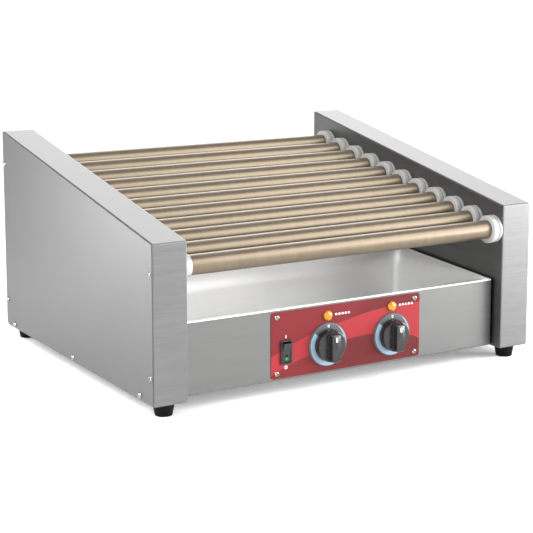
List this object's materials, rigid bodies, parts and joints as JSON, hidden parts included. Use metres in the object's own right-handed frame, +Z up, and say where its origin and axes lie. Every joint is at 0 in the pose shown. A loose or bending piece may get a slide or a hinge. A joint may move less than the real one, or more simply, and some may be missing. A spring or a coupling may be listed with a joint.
{
  "type": "hot dog roller grill",
  "caption": "Countertop roller grill: slanted bed of heated tubes between two sheet-steel side housings, drip tray, red control plate with dials and rocker switch.",
  "frame": {"origin": "middle of the footprint, on the surface the feet stand on", "axes": "+X to the grill's right seen from the front, +Y to its rear, +Z up"},
  "size_m": [0.5858, 0.4848, 0.3025],
  "materials": {
    "brushed_stainless": "brushed grain",
    "tray_stainless": "satin, drawn sheet",
    "screw_steel": "nickel plated, polished",
    "printed_red": "screen-printed overlay, satin",
    "dial_grey": "moulded, printed scale",
    "black_plastic": "moulded, semi-gloss",
    "zinc_steel": "zinc plated",
    "chain_steel": "oiled steel",
    "amber_lens": "translucent dome",
    "green_lens": "translucent",
    "roller_coating": "champagne non-stick coating, satin",
    "white_ptfe": "white, waxy",
    "element_sheath": "heat-tinted tube",
    "motor_paint": "grey enamel",
    "terminal_ceramic": "glazed",
    "black_rubber": "moulded, matt"
  },
  "bodies": {
    "chassis": {"left_side_frame": "brushed_stainless", "right_side_frame": "brushed_stainless", "left_side_cover": "brushed_stainless", "right_side_cover": "brushed_stainless", "front_panel": "brushed_stainless", "base_pan": "brushed_stainless", "rear_panel": "brushed_stainless", "grease_baffle": "brushed_stainless", "tray_rails": "tray_stainless", "cover_screws": "screw_steel", "panel_screws": "screw_steel", "control_plate_screws": "screw_steel", "foot_screws": "screw_steel", "control_plate": "printed_red", "front_dial_ring": "dial_grey", "rear_dial_ring": "dial_grey", "rocker_bezel": "black_plastic", "cable_gland": "black_plastic", "element_rails": "zinc_steel", "front_thermostat": "zinc_steel", "rear_thermostat": "zinc_steel", "drive_chain": "chain_steel", "front_indicator_lamp": "amber_lens", "rear_indicator_lamp": "amber_lens", "roller_bushings": "white_ptfe", "heating_elements": "element_sheath", "gear_motor": "motor_paint", "terminal_block": "terminal_ceramic", "rubber_feet": "black_rubber"},
    "tray": {"drip_tray": "tray_stainless"},
    "front_control": {"front_knob": "black_plastic", "front_spindle": "zinc_steel"},
    "rear_control": {"rear_knob": "black_plastic", "rear_spindle": "zinc_steel"},
    "power_switch": {"rocker_paddle": "black_plastic", "rocker_lens": "green_lens"},
    "motor_output": {"motor_sprocket": "zinc_steel", "drive_shaft": "zinc_steel"},
    "roller_01": {"roller_tube_01": "roller_coating", "roller_sprocket_01": "zinc_steel"},
    "roller_02": {"roller_tube_02": "roller_coating", "roller_sprocket_02": "zinc_steel"},
    "roller_03": {"roller_tube_03": "roller_coating", "roller_sprocket_03": "zinc_steel"},
    "roller_04": {"roller_tube_04": "roller_coating", "roller_sprocket_04": "zinc_steel"},
    "roller_05": {"roller_tube_05": "roller_coating", "roller_sprocket_05": "zinc_steel"},
    "roller_06": {"roller_tube_06": "roller_coating", "roller_sprocket_06": "zinc_steel"},
    "roller_07": {"roller_tube_07": "roller_coating", "roller_sprocket_07": "zinc_steel"},
    "roller_08": {"roller_tube_08": "roller_coating", "roller_sprocket_08": "zinc_steel"},
    "roller_09": {"roller_tube_09": "roller_coating", "roller_sprocket_09": "zinc_steel"},
    "roller_10": {"roller_tube_10": "roller_coating", "roller_sprocket_10": "zinc_steel"},
    "roller_11": {"roller_tube_11": "roller_coating", "roller_sprocket_11": "zinc_steel"}
  },
  "joints": [
    {"name": "roller_01_spin", "type": "hinge", "parent": "chassis", "child": "roller_01", "pos_m": [0, -0.2171, 0.18271], "axis": [1, 0, 0], "continuous": true},
    {"name": "roller_02_spin", "type": "hinge", "parent": "chassis", "child": "roller_02", "pos_m": [0, -0.17566, 0.19012], "axis": [1, 0, 0], "continuous": true},
    {"name": "roller_03_spin", "type": "hinge", "parent": "chassis", "child": "roller_03", "pos_m": [0, -0.13422, 0.19753], "axis": [1, 0, 0], "continuous": true},
    {"name": "roller_04_spin", "type": "hinge", "parent": "chassis", "child": "roller_04", "pos_m": [0, -0.09277, 0.20495], "axis": [1, 0, 0], "continuous": true},
    {"name": "roller_05_spin", "type": "hinge", "parent": "chassis", "child": "roller_05", "pos_m": [0, -0.05133, 0.21236], "axis": [1, 0, 0], "continuous": true},
    {"name": "roller_06_spin", "type": "hinge", "parent": "chassis", "child": "roller_06", "pos_m": [0, -0.00989, 0.21977], "axis": [1, 0, 0], "continuous": true},
    {"name": "roller_07_spin", "type": "hinge", "parent": "chassis", "child": "roller_07", "pos_m": [0, 0.03155, 0.22719], "axis": [1, 0, 0], "continuous": true},
    {"name": "roller_08_spin", "type": "hinge", "parent": "chassis", "child": "roller_08", "pos_m": [0, 0.073, 0.2346], "axis": [1, 0, 0], "continuous": true},
    {"name": "roller_09_spin", "type": "hinge", "parent": "chassis", "child": "roller_09", "pos_m": [0, 0.11444, 0.24201], "axis": [1, 0, 0], "continuous": true},
    {"name": "roller_10_spin", "type": "hinge", "parent": "chassis", "child": "roller_10", "pos_m": [0, 0.15588, 0.24942], "axis": [1, 0, 0], "continuous": true},
    {"name": "roller_11_spin", "type": "hinge", "parent": "chassis", "child": "roller_11", "pos_m": [0, 0.19732, 0.25684], "axis": [1, 0, 0], "continuous": true},
    {"name": "motor_spin", "type": "hinge", "parent": "chassis", "child": "motor_output", "pos_m": [0.243, 0.0944, 0.105], "axis": [1, 0, 0], "continuous": true},
    {"name": "front_knob_turn", "type": "hinge", "parent": "chassis", "child": "front_control", "pos_m": [-0.031, -0.2356, 0.057], "axis": [0, 1, 0], "range_deg": [0, 300]},
    {"name": "rear_knob_turn", "type": "hinge", "parent": "chassis", "child": "rear_control", "pos_m": [0.07, -0.2356, 0.057], "axis": [0, 1, 0], "range_deg": [0, 300]},
    {"name": "power_rocker", "type": "hinge", "parent": "chassis", "child": "power_switch", "pos_m": [-0.094, -0.2176, 0.0555], "axis": [-1, 0, 0], "range_deg": [0, 18]},
    {"name": "tray_slide", "type": "slide", "parent": "chassis", "child": "tray", "axis": [0, -0.9563, 0.2924], "range_m": [0, 0.14]}
  ],
  "couplings": [
    {"joint": "roller_02_spin", "follows": "roller_01_spin", "ratio": 1},
    {"joint": "roller_03_spin", "follows": "roller_01_spin", "ratio": 1},
    {"joint": "roller_04_spin", "follows": "roller_01_spin", "ratio": 1},
    {"joint": "roller_05_spin", "follows": "roller_01_spin", "ratio": 1},
    {"joint": "roller_06_spin", "follows": "roller_01_spin", "ratio": 1},
    {"joint": "roller_07_spin", "follows": "roller_01_spin", "ratio": 1},
    {"joint": "roller_08_spin", "follows": "roller_01_spin", "ratio": 1},
    {"joint": "roller_09_spin", "follows": "roller_01_spin", "ratio": 1},
    {"joint": "roller_10_spin", "follows": "roller_01_spin", "ratio": 1},
    {"joint": "roller_11_spin", "follows": "roller_01_spin", "ratio": 1},
    {"joint": "motor_spin", "follows": "roller_01_spin", "ratio": 1}
  ]
}
